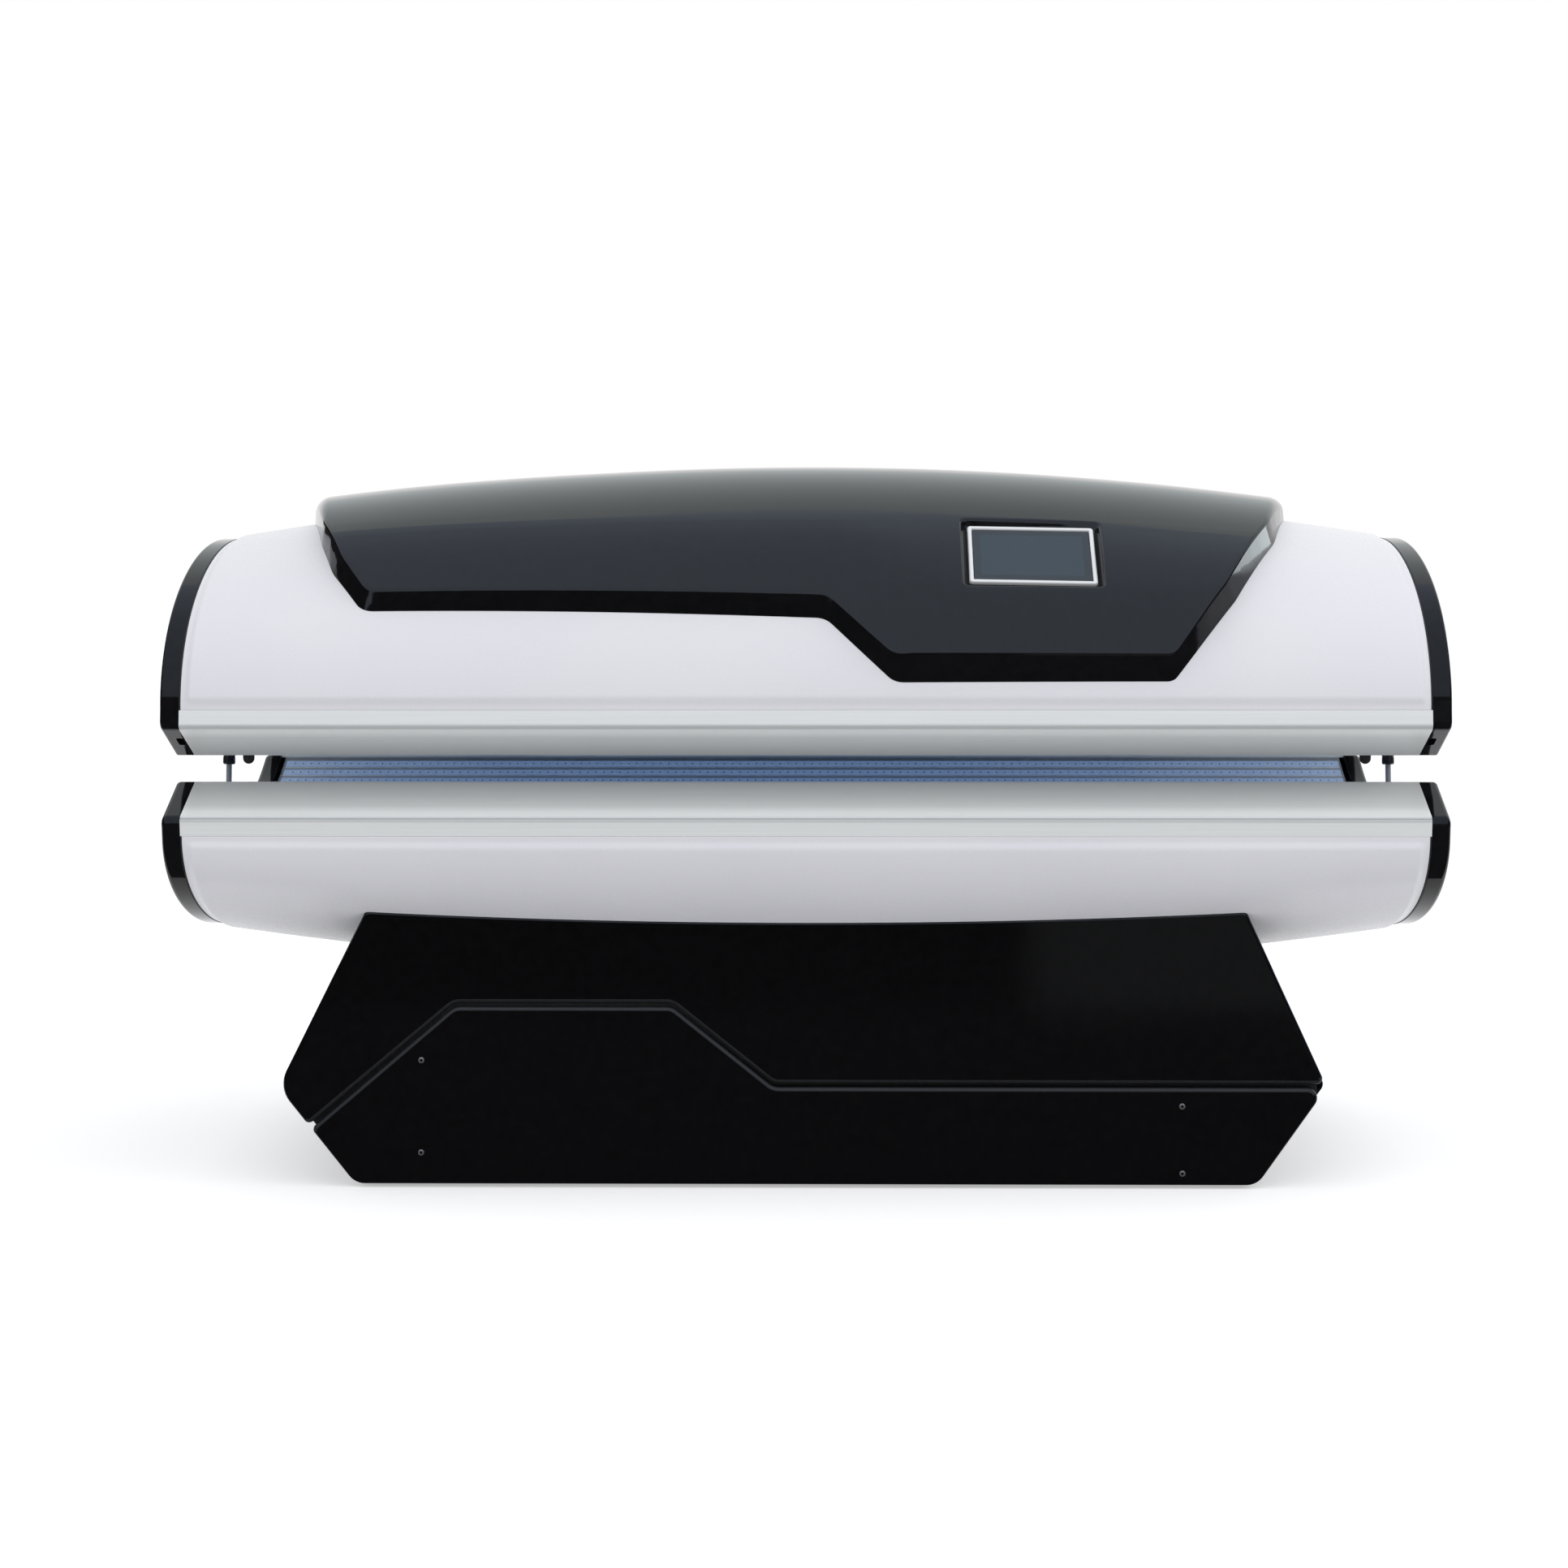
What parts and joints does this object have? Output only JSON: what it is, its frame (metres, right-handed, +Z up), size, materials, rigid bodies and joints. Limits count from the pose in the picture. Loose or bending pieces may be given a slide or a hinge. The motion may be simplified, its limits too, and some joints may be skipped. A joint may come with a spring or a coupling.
{
  "type": "led light therapy bed",
  "caption": "Clamshell light therapy bed: a hinged crowned canopy with gas struts over an acrylic bed, both lined with LED strips, touch screen hood, faceted black base.",
  "frame": {"origin": "on the floor under the middle of the bed, at the bottom centre of its box", "axes": "X along the bed to the right as seen from the front, Y from the front to the hinged rear, Z up; the open front faces -Y"},
  "size_m": [2.2, 1.019, 1.2648],
  "materials": {
    "white_shell": "gloss white moulding",
    "black_gloss": "piano black",
    "satin_aluminium": "satin anodised",
    "acrylic": "clear cast acrylic",
    "led_board": "blue strip boards",
    "rib_aluminium": "mill finish",
    "frame_metal": "black powder coat",
    "black_steel": "black coat",
    "chrome": "polished",
    "rubber": "matte",
    "screen_glass": "dark touch panel",
    "silver_bezel": "satin silver",
    "supply_case": "bare case",
    "black_plastic": "moulded"
  },
  "bodies": {
    "base": {"base_frame": "frame_metal", "base_front_panel": "black_gloss", "base_service_panel": "black_gloss", "base_end_panel_left": "black_gloss", "base_end_panel_right": "black_gloss", "base_back_panel": "black_gloss", "foot_front_left": "rubber", "foot_front_right": "rubber", "foot_rear_left": "rubber", "foot_rear_right": "rubber", "mains_inlet": "black_plastic", "power_supply_left": "supply_case", "power_supply_right": "supply_case", "controller_box": "supply_case", "fan_housing_left": "black_plastic", "fan_housing_right": "black_plastic", "lower_shell": "white_shell", "lower_front_rail": "satin_aluminium", "lower_rear_rail": "satin_aluminium", "lower_cap_left": "black_gloss", "lower_cap_right": "black_gloss", "bed_acrylic": "acrylic", "bed_led_tray": "led_board", "bed_rib_left": "rib_aluminium", "bed_rib_middle": "rib_aluminium", "bed_rib_right": "rib_aluminium", "strut_foot_left": "black_steel", "strut_foot_right": "black_steel", "hinge_bed_leaf_left": "black_steel", "hinge_bed_leaf_right": "black_steel", "hinge_pin_left": "chrome", "hinge_pin_right": "chrome"},
    "canopy": {"upper_shell": "white_shell", "hood": "black_gloss", "screen_housing": "black_plastic", "screen_bezel": "silver_bezel", "screen_glass": "screen_glass", "upper_front_rail": "satin_aluminium", "upper_rear_rail": "satin_aluminium", "upper_cap_left": "black_gloss", "upper_cap_right": "black_gloss", "canopy_acrylic": "acrylic", "canopy_led_tray": "led_board", "canopy_rib_left": "rib_aluminium", "canopy_rib_middle": "rib_aluminium", "canopy_rib_right": "rib_aluminium", "strut_head_left": "black_steel", "strut_head_right": "black_steel", "hinge_canopy_leaf_left": "black_steel", "hinge_canopy_leaf_right": "black_steel", "canopy_buffer_left": "rubber", "canopy_buffer_right": "rubber"},
    "tube_left": {"strut_tube_left": "black_steel"},
    "tube_right": {"strut_tube_right": "black_steel"},
    "rod_left": {"strut_rod_left": "chrome"},
    "rod_right": {"strut_rod_right": "chrome"},
    "rotor_left": {"fan_rotor_left": "black_plastic"},
    "rotor_right": {"fan_rotor_right": "black_plastic"}
  },
  "joints": [
    {"name": "canopy_lift", "type": "hinge", "parent": "base", "child": "canopy", "pos_m": [0, 0.4, 0.727], "axis": [-1, 0, 0], "range_deg": [0, 30]},
    {"name": "strut_swing_left", "type": "hinge", "parent": "canopy", "child": "tube_left", "pos_m": [-1.0525, -0.15, 1.07308], "axis": [1, 0, 0], "range_deg": [0, 14.78]},
    {"name": "strut_swing_right", "type": "hinge", "parent": "canopy", "child": "tube_right", "pos_m": [1.0525, -0.15, 1.07308], "axis": [1, 0, 0], "range_deg": [0, 14.78]},
    {"name": "strut_slide_left", "type": "slide", "parent": "tube_left", "child": "rod_left", "axis": [0, -0.1076, -0.9942], "range_m": [0, 0.289]},
    {"name": "strut_slide_right", "type": "slide", "parent": "tube_right", "child": "rod_right", "axis": [0, -0.1076, -0.9942], "range_m": [0, 0.289]},
    {"name": "fan_spin_left", "type": "hinge", "parent": "base", "child": "rotor_left", "pos_m": [-0.3, 0.3695, 0.225], "axis": [0, 1, 0], "continuous": true},
    {"name": "fan_spin_right", "type": "hinge", "parent": "base", "child": "rotor_right", "pos_m": [0.3, 0.3695, 0.225], "axis": [0, 1, 0], "continuous": true}
  ],
  "couplings": [
    {"joint": "strut_swing_left", "follows": "canopy_lift", "ratio": 0.4921},
    {"joint": "strut_swing_right", "follows": "canopy_lift", "ratio": 0.4921},
    {"joint": "strut_slide_left", "follows": "canopy_lift", "m_per_rad": 0.5517},
    {"joint": "strut_slide_right", "follows": "canopy_lift", "m_per_rad": 0.5517}
  ]
}
